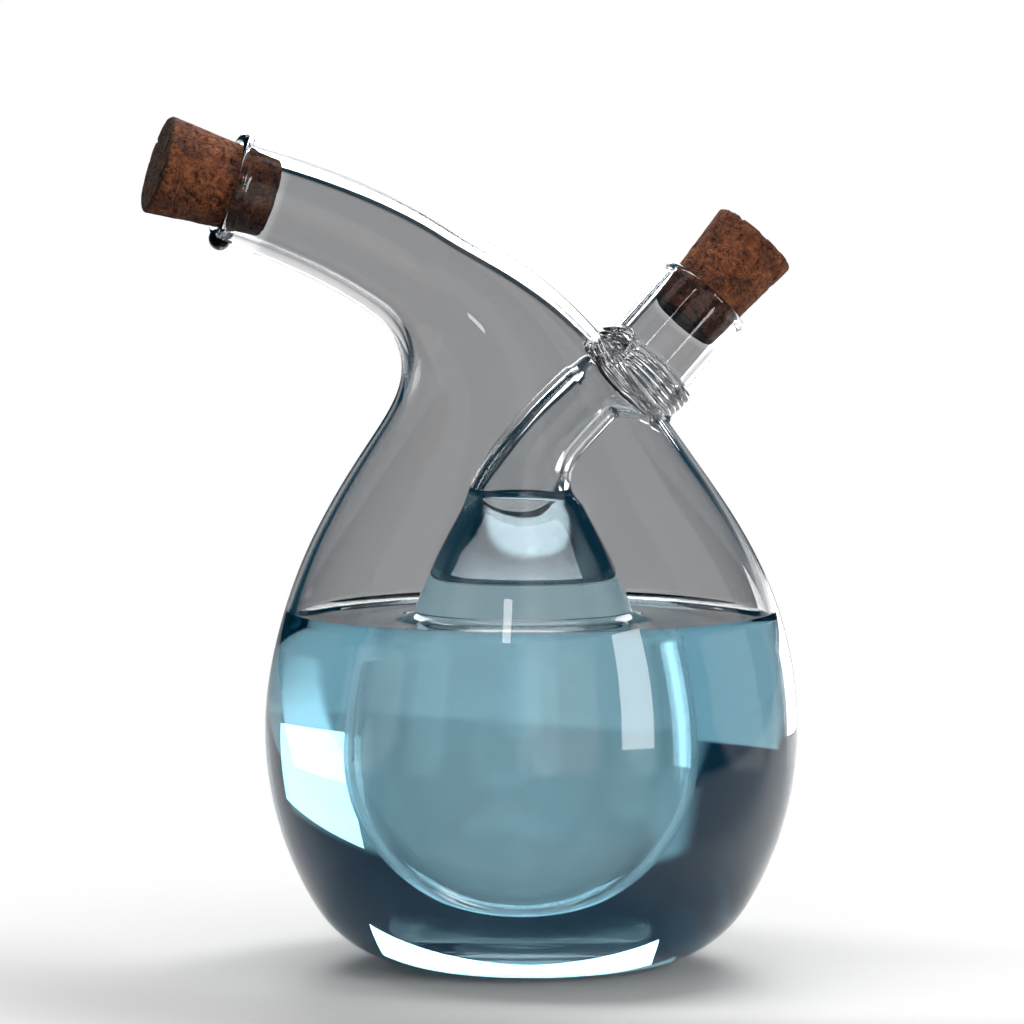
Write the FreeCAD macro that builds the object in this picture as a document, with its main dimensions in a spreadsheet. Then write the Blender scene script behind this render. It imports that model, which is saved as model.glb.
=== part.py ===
"""Oil and vinegar cruet: a small flask blown inside a larger one, each with its own mouth and cork.

The frame has its origin at the middle of the flat base, +Z up. The spout leans towards -X,
the short mouth of the inner flask towards +X, and XZ is the plane of symmetry. Lengths in mm.
"""
import FreeCAD
import Part
import Sketcher

import math
import os

SIZES = {
    # Outer flask: the belly, and the arcs of its lower half
    "belly_radius": 50.0,
    "belly_height": 44.0,
    "belly_lower_arc": 63.5,
    "base_corner_arc": 23.0,
    "flask_wall": 2.0,
    "base_thickness": 5.0,
    # Outer flask: the shoulder curve and the spout that it is drawn out into
    "shoulder_arc": 69.3,
    "spout_rise": 37.6,
    "spout_waist_x": -9.7,
    "spout_waist_height": 104.0,
    "spout_reach": 70.3,
    "spout_mouth_x": -57.2,
    "spout_mouth_height": 145.9,
    "spout_slope": 17.0,
    "spout_radius": 10.1,
    "spout_taper": 0.034,
    "spout_blend": 24.6,
    "spout_lip_bead": 1.1,
    "lip_drop_radius": 2.0,
    # Inner flask: a round bulb, a long shoulder and a neck that bends to the side
    "bulb_x": -1.5,
    "bulb_radius": 25.0,
    "bulb_height": 40.0,
    "bulb_wall": 1.4,
    "bulb_shoulder_arc": 75.0,
    "neck_bend_height": 20.9,
    "neck_first_handle": 9.0,
    "neck_last_handle": 9.0,
    "throat_to_seal": 9.06,
    "throat_below_seal": 3.84,
    "throat_slope": 45.0,
    "throat_radius": 6.8,
    "neck_taper": 0.02,
    "neck_blend": 6.0,
    # Side mouth: the straight stub that the inner neck opens into
    "seal_distance": 61.1,
    "seal_proud": 1.35,
    "stub_slope": 47.5,
    "stub_radius": 9.1,
    "stub_wall": 1.45,
    "stub_length": 19.6,
    "stub_root": 3.4,
    "stub_lip_bead": 0.8,
    # Fused seal where the stub passes the outer wall
    "seal_ridge_radius": 0.8,
    "seal_ridge_step": 1.25,
    "seal_gather_radius": 2.4,
    # Corks
    "spout_cork_large": 9.3,
    "spout_cork_small": 7.3,
    "spout_cork_length": 22.0,
    "stub_cork_large": 8.7,
    "stub_cork_small": 7.0,
    "stub_cork_length": 21.5,
    "cork_edge": 0.5,
    "cork_gap": 0.1,
    "lip_relief": 0.1,
    # The two fillings
    "outer_level": 66.0,
    "inner_level": 88.5,
    "liquid_gap": 0.1,
}

SEAL_RIDGES = 4         # ridges side by side around the seal
LOFT_STATIONS = 15      # circles along each bent neck
PATH_STEPS = 240        # samples for the length along a neck's centre line
OVERSHOOT = 3.0         # how far a cutter runs past the mouth that it opens
BLOCK_RADII = 4         # width of a level's block, in belly radii

# Point positions and axes by the sketch solver's own numbers
START, END, CENTRE, ORIGIN, V_AXIS = 1, 2, 3, -1, -2

doc = FreeCAD.newDocument("cruet")
sheet = doc.addObject("Spreadsheet::Sheet", "Sizes")
for row, (alias, number) in enumerate(SIZES.items(), start=1):
    sheet.set(f"A{row}", alias)
    sheet.set(f"B{row}", str(number))
    sheet.setAlias(f"B{row}", alias)
doc.recompute()


class Size:
    """A length from the sheet: its value now, and the expression that gives it."""

    def __init__(self, text, value):
        self.text = text
        self.value = value

    def __add__(self, other):
        return Size(f"({self.text} + {other.text})", self.value + other.value)

    def __sub__(self, other):
        return Size(f"({self.text} - {other.text})", self.value - other.value)

    def __mul__(self, factor):
        return Size(f"({self.text} * {factor})", self.value * factor)


def size(alias):
    return Size(f"Sizes.{alias}", float(sheet.get(alias)))


def value(alias):
    return float(sheet.get(alias))


NOTHING = Size("0", 0.0)


def vector(x, z):
    """A point in the plane of symmetry."""
    return FreeCAD.Vector(x, 0, z)


def slope_direction(degrees, side):
    """Unit vector in the plane of symmetry, rising by the slope towards side -1 or +1."""
    angle = math.radians(degrees)
    return vector(side * math.cos(angle), math.sin(angle))


def placed_along(point, direction):
    """Placement whose local Z runs along the direction."""
    return FreeCAD.Placement(point, FreeCAD.Rotation(FreeCAD.Vector(0, 0, 1), direction))


class NeckPath:
    """Centre line of a flask above its belly: a straight rise, then a Bezier curve."""

    def __init__(self, start, rise, poles):
        self.start = start
        self.rise = rise
        self.poles = [start + vector(0, rise)] + poles
        self.lengths = [0.0]
        last = self.poles[0]
        for step in range(1, PATH_STEPS + 1):
            point = self.curve_point(step / PATH_STEPS)
            self.lengths.append(self.lengths[-1] + point.distanceToPoint(last))
            last = point
        self.length = rise + self.lengths[-1]

    def between(self, points, t):
        while len(points) > 1:
            points = [a * (1 - t) + b * t for a, b in zip(points, points[1:])]
        return points[0]

    def curve_point(self, t):
        return self.between(self.poles, t)

    def curve_direction(self, t):
        legs = [b - a for a, b in zip(self.poles, self.poles[1:])]
        return self.between(legs, t).normalize()

    def at(self, distance):
        """Point and direction at a length along the path, which runs on straight past its end."""
        along = distance - self.rise
        if along <= 0:
            return self.start + vector(0, distance), vector(0, 1)
        if along >= self.lengths[-1]:
            way = self.curve_direction(1.0)
            return self.curve_point(1.0) + way * (along - self.lengths[-1]), way
        step = next(i for i, length in enumerate(self.lengths) if length > along)
        before, after = self.lengths[step - 1], self.lengths[step]
        t = (step - 1 + (along - before) / (after - before)) / PATH_STEPS
        return self.curve_point(t), self.curve_direction(t)


def smooth_max(a, b, blend):
    """The larger of two values, rounded over where they are closer than the blend."""
    return max(a, b) + max(blend - abs(a - b), 0.0) ** 2 / (4 * blend)


def drawn_out(path, belly, arc, mouth, taper, blend):
    """Radius of a flask at a length above its belly: a shoulder curve drawn out into a neck."""
    def radius_at(distance):
        shoulder = belly - distance ** 2 / (2 * arc)
        neck = mouth + taper * (path.length - distance)
        return smooth_max(shoulder, neck, blend)
    return radius_at


def arc(x, z, radius, first, last):
    circle = Part.Circle(FreeCAD.Vector(x, z, 0), FreeCAD.Vector(0, 0, 1), radius)
    return Part.ArcOfCircle(circle, first, last)


def line(x1, z1, x2, z2):
    return Part.LineSegment(FreeCAD.Vector(x1, z1, 0), FreeCAD.Vector(x2, z2, 0))


def tie(sketch, kind, *where, to):
    """Adds a dimension whose value is an expression on the sheet."""
    index = sketch.addConstraint(Sketcher.Constraint(kind, *where, to.value))
    sketch.setExpression(f"Constraints[{index}]", to.text)


def turned_body(name, geometry, constraints, ties):
    """A body turned about Z from one sketch in the plane of symmetry."""
    body = doc.addObject("PartDesign::Body", name)
    sketch = body.newObject("Sketcher::SketchObject", name + "_profile")
    plane = next(f for f in body.Origin.OriginFeatures if f.Role == "XZ_Plane")
    sketch.AttachmentSupport = [(plane, "")]
    sketch.MapMode = "FlatFace"
    sketch.addGeometry(geometry, False)
    sketch.addConstraint([Sketcher.Constraint(*c) for c in constraints])
    for kind, where, to in ties:
        tie(sketch, kind, *where, to=to)
    turn = body.newObject("PartDesign::Revolution", name + "_turned")
    turn.Profile = sketch
    turn.ReferenceAxis = (sketch, ["V_Axis"])
    turn.Angle = 360.0
    return body


def lower_half(name, radius, height, lower_arc, corner_arc, bottom):
    """Below the belly: a flat base, a corner arc and the belly's lower arc, all tangent.

    The height is where the belly is widest; the corner arc's size follows from the others."""
    r, h, a, c, z = (s.value for s in (radius, height, lower_arc, corner_arc, bottom))
    turn = math.asin((h - z - c) / (a - c))
    corner_x = r - a + (a - c) * math.cos(turn)
    geometry = [
        line(0, z, corner_x, z),
        arc(corner_x, z + c, c, -math.pi / 2, -turn),
        arc(r - a, h, a, -turn, 0),
        line(r, h, 0, h),
        line(0, h, 0, z),
    ]
    constraints = [
        ("Tangent", 0, END, 1, START),
        ("Tangent", 1, END, 2, START),
        ("Coincident", 2, END, 3, START),
        ("Coincident", 3, END, 4, START),
        ("Coincident", 4, END, 0, START),
        ("Horizontal", 0),
        ("Horizontal", 3),
        ("PointOnObject", 2, CENTRE, 3),
        ("PointOnObject", 3, END, V_AXIS),
        ("PointOnObject", 4, END, V_AXIS),
    ]
    ties = [
        ("DistanceX", (ORIGIN, 1, 2, END), radius),
        ("DistanceY", (ORIGIN, 1, 2, END), height),
        ("Radius", (2,), lower_arc),
        ("Radius", (1,), corner_arc),
    ]
    if bottom.value > 0:
        ties.append(("DistanceY", (ORIGIN, 1, 4, END), bottom))
    else:
        constraints.append(("PointOnObject", 0, END, ORIGIN))
    return turned_body(name, geometry, constraints, ties)


def lower_hemisphere(name, radius, height):
    """Lower half of a round bulb, under the height of its centre."""
    r, h = radius.value, height.value
    geometry = [arc(0, h, r, -math.pi / 2, 0), line(r, h, 0, h), line(0, h, 0, h - r)]
    constraints = [
        ("Coincident", 0, END, 1, START),
        ("Coincident", 1, END, 2, START),
        ("Coincident", 2, END, 0, START),
        ("Coincident", 0, CENTRE, 1, END),
        ("Horizontal", 1),
        ("Vertical", 2),
        ("PointOnObject", 1, END, V_AXIS),
    ]
    ties = [("DistanceY", (ORIGIN, 1, 1, END), height), ("Radius", (0,), radius)]
    body = turned_body(name, geometry, constraints, ties)
    body.setExpression("Placement.Base.x", "Sizes.bulb_x")
    return body


def bent_neck(name, path, radius_at, runs_past=0.0):
    """Loft through circles along the path, from the belly to the mouth or just past it.

    One circle lies right at the mouth, so that the bore has its full size there. One more,
    halfway to the first station, starts the loft off tangent to the belly."""
    step = path.length / LOFT_STATIONS
    distances = [0.0, step / 2] + [step * station for station in range(1, LOFT_STATIONS + 1)]
    if runs_past:
        distances.append(path.length + runs_past)
    circles = []
    for station, distance in enumerate(distances):
        circle = doc.addObject("Part::Circle", f"{name}_ring_{station}")
        circle.Radius = radius_at(distance)
        circle.Placement = placed_along(*path.at(distance))
        circles.append(circle)
    loft = doc.addObject("Part::Loft", name)
    loft.Sections = circles
    loft.Solid = True
    return loft


def fused(name, *pieces):
    result = doc.addObject("Part::MultiFuse", name)
    result.Shapes = list(pieces)
    return result


def cut(name, base, tool):
    result = doc.addObject("Part::Cut", name)
    result.Base = base
    result.Tool = tool
    return result


def outer_path():
    mouth = vector(value("spout_mouth_x"), value("spout_mouth_height"))
    poles = [
        vector(0, value("belly_height") + value("spout_rise")),
        vector(value("spout_waist_x"), value("spout_waist_height")),
        mouth - slope_direction(value("spout_slope"), -1) * value("spout_reach"),
        mouth,
    ]
    return NeckPath(vector(0, value("belly_height")), 0.0, poles)


def outer_radius(path, inset):
    """Radius of the outer flask along its centre line, at an inset from its outside."""
    return drawn_out(path, value("belly_radius") - inset.value, value("shoulder_arc"),
                     value("spout_radius") - inset.value, value("spout_taper"),
                     value("spout_blend"))


def seal_centre():
    """Centre of the seal around the stub, a little proud of the outer flask's wall."""
    path = outer_path()
    centre, way = path.at(value("seal_distance"))
    out = vector(way.z, -way.x)
    radius = outer_radius(path, NOTHING)(value("seal_distance"))
    return centre + out * (radius + value("seal_proud"))


def inner_path():
    start = vector(value("bulb_x"), value("bulb_height"))
    throat = seal_centre() - vector(value("throat_to_seal"), value("throat_below_seal"))
    rise = throat.z - start.z - value("neck_bend_height")
    poles = [
        start + vector(0, rise + value("neck_first_handle")),
        throat - slope_direction(value("throat_slope"), 1) * value("neck_last_handle"),
        throat,
    ]
    return NeckPath(start, rise, poles)


def outer_form(name, inset, bottom, runs_past=0.0):
    """The outer flask's form at an inset from its outside."""
    path = outer_path()
    radius_at = outer_radius(path, inset)
    belly = lower_half(name + "_belly", size("belly_radius") - inset, size("belly_height"),
                       size("belly_lower_arc") - inset, size("base_corner_arc") - inset, bottom)
    return fused(name, belly, bent_neck(name + "_spout", path, radius_at, runs_past))


def inner_form(name, inset):
    """The inner flask's form, up to its throat, at an inset from its outside."""
    path = inner_path()
    radius_at = drawn_out(path, value("bulb_radius") - inset.value, value("bulb_shoulder_arc"),
                          value("throat_radius") - inset.value, value("neck_taper"),
                          value("neck_blend"))
    bulb = lower_hemisphere(name + "_bulb", size("bulb_radius") - inset, size("bulb_height"))
    return fused(name, bulb, bent_neck(name + "_neck", path, radius_at))


def stub_axis():
    """The stub's mouth centre, its way out, and the centre of the seal around it."""
    way_out = slope_direction(value("stub_slope"), 1)
    seal = seal_centre()
    return seal + way_out * value("stub_length"), way_out, seal


def bead_ring(name, centre, direction, middle_radius, bead):
    ring = doc.addObject("Part::Torus", name)
    ring.setExpression("Radius1", middle_radius.text)
    ring.setExpression("Radius2", bead.text)
    ring.Placement = placed_along(centre, direction)
    return ring


def lip_bead(name, mouth, way_out, radius, wall, bead):
    """Fire-polished bead around a mouth, half of it past the mouth's plane.

    It stays just clear of the bore inside the wall."""
    middle = radius - wall + bead + size("lip_relief")
    return bead_ring(name, mouth - way_out * (bead.value / 2), way_out, middle, bead)


def bead_drop(name, centre, radius):
    drop = doc.addObject("Part::Sphere", name)
    drop.setExpression("Radius", radius.text)
    drop.Placement = FreeCAD.Placement(centre, FreeCAD.Rotation())
    return drop


def stub_form(name, inset, runs_past=0.0):
    """The stub and the funnel under it, which narrows to the inner flask's throat."""
    mouth, way_out, seal = stub_axis()
    root = seal - way_out * value("stub_root")
    tube = doc.addObject("Part::Cylinder", name + "_tube")
    tube.setExpression("Radius", (size("stub_radius") - inset).text)
    tube.setExpression("Height", f"Sizes.stub_length + Sizes.stub_root + {runs_past}")
    tube.Placement = placed_along(root, way_out)

    throat, throat_way = inner_path().at(inner_path().length)
    rings = []
    for label, point, way, alias in (("throat", throat, throat_way, "throat_radius"),
                                     ("root", root, way_out, "stub_radius")):
        ring = doc.addObject("Part::Circle", f"{name}_{label}_ring")
        ring.Placement = placed_along(point, way)
        ring.Radius = value(alias) - inset.value
        rings.append(ring)
    funnel = doc.addObject("Part::Loft", name + "_funnel")
    funnel.Sections = rings
    funnel.Solid = True
    return tube, funnel


def seal_beads():
    """Side-by-side ridges around the stub, and the gather of glass under its lower side."""
    _, way_out, seal = stub_axis()
    ridge = size("seal_ridge_radius")
    pieces = []
    for index in range(SEAL_RIDGES):
        offset = (index - (SEAL_RIDGES - 1) / 2) * value("seal_ridge_step")
        pieces.append(bead_ring(f"seal_ridge_{index + 1}", seal + way_out * offset, way_out,
                                size("stub_radius"), ridge))
    gather = size("seal_gather_radius")
    sunk = value("stub_radius") - value("stub_wall")
    below = slope_direction(value("stub_slope") - 90, 1)
    under_seal = seal - way_out * (value("stub_root") + ridge.value)
    pieces.append(bead_drop("seal_gather", under_seal + below * sunk, gather))
    return pieces


def lip_drop(mouth, way_out):
    """Drop of glass that hangs from the spout's lip."""
    below = slope_direction(value("spout_slope") - 90, -1)
    radial = below * (value("spout_radius") + value("lip_relief"))
    centre = mouth - way_out * value("spout_lip_bead") + radial
    return bead_drop("spout_lip_drop", centre, size("lip_drop_radius"))


def glass_vessel():
    """Both flasks, the stub, the seal and the lips, melted into one piece of glass."""
    wall, stub_wall = size("flask_wall"), size("stub_wall")
    outside = outer_form("flask_outside", NOTHING, NOTHING)
    hollow = outer_form("flask_hollow", wall, size("base_thickness"), OVERSHOOT)
    shell = cut("flask_shell", outside, hollow)

    path = outer_path()
    spout_mouth, spout_way = path.at(path.length)
    stub_mouth, stub_way, _ = stub_axis()
    lips = [
        lip_bead("spout_lip_bead", spout_mouth, spout_way, size("spout_radius"), wall,
                 size("spout_lip_bead")),
        lip_bead("stub_lip_bead", stub_mouth, stub_way, size("stub_radius"), stub_wall,
                 size("stub_lip_bead")),
        lip_drop(spout_mouth, spout_way),
    ]
    inner = [inner_form("bulb_outside", NOTHING), *stub_form("stub_outside", NOTHING)]
    melted = fused("melted_glass", shell, *inner, *lips, *seal_beads())
    bore = fused("inner_hollow", inner_form("bulb_hollow", size("bulb_wall")),
                 *stub_form("stub_bore", stub_wall, OVERSHOOT))
    vessel = cut("glass_vessel", melted, bore)
    vessel.Label = "glass_vessel"
    return vessel


def below_level(name, alias):
    """Block of space under a filling's level, wider than the flask."""
    block = doc.addObject("Part::Box", name)
    width = size("belly_radius") * BLOCK_RADII
    block.setExpression("Length", width.text)
    block.setExpression("Width", width.text)
    block.setExpression("Height", f"Sizes.{alias}")
    block.setExpression("Placement.Base.x", f"-{width.text} / 2")
    block.setExpression("Placement.Base.y", f"-{width.text} / 2")
    return block


def common(name, first, second):
    result = doc.addObject("Part::MultiCommon", name)
    result.Shapes = [first, second]
    return result


def outer_liquid():
    """What fills the outer flask around the bulb, up to its level."""
    gap = size("liquid_gap")
    space = outer_form("outer_filling", size("flask_wall") + gap, size("base_thickness") + gap)
    filling = common("outer_filling_level", space, below_level("outer_filling_block", "outer_level"))
    liquid = cut("outer_liquid", filling, inner_form("bulb_clearance", gap * -1))
    liquid.Label = "outer_liquid"
    return liquid


def inner_liquid():
    """What fills the inner flask up to the bend of its neck."""
    space = inner_form("inner_filling", size("bulb_wall") + size("liquid_gap"))
    liquid = common("inner_liquid", space, below_level("inner_filling_block", "inner_level"))
    liquid.Label = "inner_liquid"
    return liquid


def cork(name, prefix, bore, mouth, way_out):
    """Tapered cork with broken edges, pushed in until it meets the bore at the mouth."""
    large, small, length = (size(f"{prefix}_cork_{end}") for end in ("large", "small", "length"))
    edge = size("cork_edge")
    r1, r2, run = small.value, large.value, length.value
    geometry = [line(0, 0, r1, 0), line(r1, 0, r2, run), line(r2, run, 0, run), line(0, run, 0, 0)]
    constraints = [
        ("Coincident", 0, END, 1, START),
        ("Coincident", 1, END, 2, START),
        ("Coincident", 2, END, 3, START),
        ("Coincident", 3, END, 0, START),
        ("Horizontal", 0),
        ("Horizontal", 2),
        ("Vertical", 3),
        ("Coincident", 0, START, ORIGIN, 1),
    ]
    ties = [
        ("DistanceX", (0, START, 0, END), small),
        ("DistanceX", (2, END, 2, START), large),
        ("DistanceY", (3, END, 3, START), length),
    ]
    body = turned_body(name, geometry, constraints, ties)
    body.Label = name
    turn = body.Tip
    doc.recompute()
    rims = [f"Edge{i + 1}" for i, item in enumerate(turn.Shape.Edges) if item.isClosed()]
    broken = body.newObject("PartDesign::Chamfer", name + "_edges")
    broken.Base = (turn, rims)
    broken.Size = edge.value
    broken.setExpression("Size", edge.text)
    taper = (r2 - r1) / run
    depth = (bore - value("cork_gap") - r1) / taper
    body.Placement = placed_along(mouth - way_out * depth, way_out)
    return body


def build():
    path = outer_path()
    spout_mouth, spout_way = path.at(path.length)
    stub_mouth, stub_way, _ = stub_axis()
    parts = [
        glass_vessel(),
        outer_liquid(),
        inner_liquid(),
        cork("spout_cork", "spout", value("spout_radius") - value("flask_wall"), spout_mouth,
             spout_way),
        cork("stub_cork", "stub", value("stub_radius") - value("stub_wall"), stub_mouth, stub_way),
    ]
    doc.recompute()
    for item in doc.Objects:
        if "Invalid" in item.State or "Error" in item.State:
            raise RuntimeError(f"{item.Name} failed: {item.State}")
    os.makedirs("parts", exist_ok=True)
    for part in parts:
        shape = part.Shape
        if shape.isNull() or not shape.isValid():
            raise RuntimeError(f"{part.Label} has no valid shape")
        print(part.Label, "solids", len(shape.Solids), "faces", len(shape.Faces),
              "volume", round(shape.Volume, 1))
        shape.exportStep(f"parts/{part.Label}.step")


build()
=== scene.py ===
# %% [markdown]
# # Oil and vinegar cruet in blown glass
# A large flask of clear glass is drawn out to one side into a long pouring neck. A smaller
# flask hangs inside it and comes out through the wall as a short tube on the other side.
# Both are filled, and a tapered cork closes each mouth. This lesson builds the glass, the
# two liquids and the corks from a few rules of shape, and then gives them their finishes.

# %% The shared frame
import math

import bpy
import numpy as np
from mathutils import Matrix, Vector, noise


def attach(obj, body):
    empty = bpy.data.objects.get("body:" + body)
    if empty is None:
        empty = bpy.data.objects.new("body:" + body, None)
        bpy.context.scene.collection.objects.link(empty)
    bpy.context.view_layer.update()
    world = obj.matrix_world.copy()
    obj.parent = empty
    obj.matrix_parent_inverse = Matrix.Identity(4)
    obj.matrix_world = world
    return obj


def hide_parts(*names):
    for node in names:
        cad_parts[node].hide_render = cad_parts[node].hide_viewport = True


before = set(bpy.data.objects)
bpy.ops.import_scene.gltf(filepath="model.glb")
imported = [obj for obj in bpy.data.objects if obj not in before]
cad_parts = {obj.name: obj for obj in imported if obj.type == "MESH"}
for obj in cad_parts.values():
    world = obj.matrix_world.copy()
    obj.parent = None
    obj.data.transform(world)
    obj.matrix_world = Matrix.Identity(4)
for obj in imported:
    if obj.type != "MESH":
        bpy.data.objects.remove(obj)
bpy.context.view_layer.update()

MM = 0.001

# %% [markdown]
# ## Numbers of the two flasks
# Everything below is in millimetres, measured from the middle of the base. The numbers are
# written once here, and the pieces that fit one another read the same ones: the bulb's wall
# gives both the glass and the liquid around it, and the mouth gives both the lip and the cork.

# %% Sizes
BELLY_RADIUS, BELLY_HEIGHT, LOWER_ARC, CORNER_ARC = 50.0, 44.0, 63.5, 23.0
WALL, BASE_THICKNESS, PUNT_DEPTH = 2.0, 5.0, 1.2
SHOULDER_ARC, SPOUT_RADIUS, SPOUT_TAPER, SPOUT_BLEND = 69.3, 10.1, 0.034, 24.6
SPOUT_MOUTH, SPOUT_SLOPE, SPOUT_REACH = np.array([-57.2, 145.9]), 17.0, 70.3
SPOUT_HANDLES = [(0.0, 81.6), (-9.7, 104.0)]

BULB_X, BULB_RADIUS, BULB_HEIGHT, BULB_WALL = -1.5, 25.0, 40.0, 1.4
BULB_ARC, NECK_RISE, NECK_TAPER, NECK_BLEND = 75.0, 46.0, 0.02, 6.0
THROAT_SLOPE, THROAT_RADIUS = 45.0, 6.8

SEAL, STUB_SLOPE, STUB_RADIUS, STUB_WALL = np.array([20.562, 110.738]), 47.5, 9.1, 1.45
STUB_LENGTH, STUB_ROOT = 19.6, 3.4
THROAT = SEAL - (9.06, 3.84)

# Radius of the round bead at each mouth, and how far the plain wall stops short of the mouth
LIP, STUB_LIP = 1.1, 0.8
LIP_TRIM, STUB_LIP_TRIM = 2.2, 1.8
# How much thicker the drawn-out inner neck is than its bulb, as a share of the wall
NECK_THICKER = 0.6
INNER_DISH = 0.8
# Each cork as small radius, large radius and length, and its clearance in the bore
SPOUT_CORK, STUB_CORK, CORK_GAP = (7.3, 9.3, 22.0), (7.0, 8.7, 21.5), 0.1

# Heights at which the two liquids touch the glass
OUTER_CONTACT, INNER_CONTACT = 66.0, 88.5
SEGMENTS = 144
TUBE_SEGMENTS = SEGMENTS * 3 // 4


def slope(degrees, side):
    """Unit vector in the plane of symmetry, rising by the slope towards side -1 or +1."""
    angle = math.radians(degrees)
    return np.array([side * math.cos(angle), math.sin(angle)])


SPOUT_WAY, STUB_WAY = slope(SPOUT_SLOPE, -1), slope(STUB_SLOPE, 1)
STUB_MOUTH = SEAL + STUB_WAY * STUB_LENGTH
print("mouths at", SPOUT_MOUTH.round(2), "and", STUB_MOUTH.round(2), "mm")

# %% [markdown]
# ## One rule for a blown shape
# Hot glass that is blown and then pulled keeps a round section, so a flask is a row of rings
# along a bent centre line. The ring's size follows one rule: the shoulder shrinks like a
# parabola, the neck like a long cone, and where the two meet the glass flows from one into
# the other. `smooth_max` is that flow. The centre line is a Bezier curve.

# %% Centre lines and radii


def bezier(poles, t):
    """Points of a Bezier curve of any degree, by repeated blending of its poles."""
    points = [np.outer(np.ones_like(t), pole) for pole in poles]
    while len(points) > 1:
        points = [a * (1 - t)[:, None] + b * t[:, None] for a, b in zip(points, points[1:])]
    return points[0]


class CentreLine:
    """A straight rise and then a Bezier curve, read by the length along it."""

    def __init__(self, start, rise, poles):
        start = np.array(start, float)
        poles = [start + (0, rise)] + [np.array(p, float) for p in poles]
        t = np.linspace(0, 1, 1201)
        curve, legs = bezier(poles, t), bezier([b - a for a, b in zip(poles, poles[1:])], t)
        ways = legs / np.linalg.norm(legs, axis=1)[:, None]
        steps = np.linalg.norm(np.diff(curve, axis=0), axis=1)
        self.s = rise + np.concatenate([[0], np.cumsum(steps)])
        if rise:
            curve, ways = np.vstack([start, curve]), np.vstack([(0, 1), ways])
            self.s = np.concatenate([[0], self.s])
        self.points, self.ways, self.length = curve, ways, self.s[-1]

    def at(self, s):
        point = np.stack([np.interp(s, self.s, self.points[:, i]) for i in (0, 1)], 1)
        way = np.stack([np.interp(s, self.s, self.ways[:, i]) for i in (0, 1)], 1)
        return point, way / np.linalg.norm(way, axis=1)[:, None]


def eased(x, low, high):
    """0 below low, 1 above high, smooth between."""
    t = np.clip((x - low) / (high - low), 0, 1)
    return t * t * (3 - 2 * t)


def smooth_max(a, b, blend):
    """The larger of two, with a rounded change from one to the other."""
    return np.maximum(a, b) + np.maximum(blend - np.abs(a - b), 0) ** 2 / (4 * blend)


OUTER_LINE = CentreLine((0, BELLY_HEIGHT), 0.0,
                        [*SPOUT_HANDLES, SPOUT_MOUTH - SPOUT_WAY * SPOUT_REACH, SPOUT_MOUTH])
INNER_LINE = CentreLine((BULB_X, BULB_HEIGHT), NECK_RISE,
                        [(BULB_X, BULB_HEIGHT + NECK_RISE + 9.0),
                         THROAT - slope(THROAT_SLOPE, 1) * 9.0, THROAT])


def outer_radius(s):
    return smooth_max(BELLY_RADIUS - s ** 2 / (2 * SHOULDER_ARC),
                      SPOUT_RADIUS + SPOUT_TAPER * (OUTER_LINE.length - s), SPOUT_BLEND)


def inner_radius(s):
    return smooth_max(BULB_RADIUS - s ** 2 / (2 * BULB_ARC),
                      THROAT_RADIUS + NECK_TAPER * (INNER_LINE.length - s), NECK_BLEND)


print("centre lines:", round(OUTER_LINE.length, 1), "and", round(INNER_LINE.length, 1), "mm")

# %% [markdown]
# ## Rows of rings
# A profile is kept as rows, each with a centre, a way that the ring faces, and a radius. Going
# up the outside, round the lip and back down the inside in one go makes a closed wall with
# no seam at the mouth, so light bends through it cleanly. The same rows, pushed a little into the
# wall, later make the liquid.

# %% Profiles as rows


def rows(points, ways, radii):
    return np.column_stack([points, ways, radii])


def upright(x, heights, radii):
    heights = np.asarray(heights, float)
    up = np.tile((0.0, 1.0), (len(heights), 1))
    return rows(np.column_stack([np.full(len(heights), x), heights]), up, radii)


def lower_rows(inset, bottom, dish):
    """From near the middle of the base, over the corner arc, to the belly."""
    belly, big, corner = BELLY_RADIUS - inset, LOWER_ARC - inset, CORNER_ARC - inset
    turn = math.asin((BELLY_HEIGHT - bottom - corner) / (big - corner))
    corner_x = belly - big + (big - corner) * math.cos(turn)
    flat = np.linspace(0.04, 0.98, 14) * corner_x
    dished = bottom + dish * (1 - (flat / corner_x) ** 2) ** 2
    a = np.linspace(-math.pi / 2, -turn, 26)
    b = np.linspace(-turn, 0, 22)[1:]
    r = np.concatenate([flat, corner_x + corner * np.cos(a), belly - big + big * np.cos(b)])
    z = np.concatenate([dished, bottom + corner * (1 + np.sin(a)), BELLY_HEIGHT + big * np.sin(b)])
    return upright(0.0, z, r)


def outer_rows(inset, bottom, dish, trim=0.0):
    """The outer flask from its base to near its mouth, at an inset from its outside."""
    s = np.linspace(0, OUTER_LINE.length - trim, 118)[1:]
    return np.vstack([lower_rows(inset, bottom, dish),
                      rows(*OUTER_LINE.at(s), outer_radius(s) - inset)])


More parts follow.
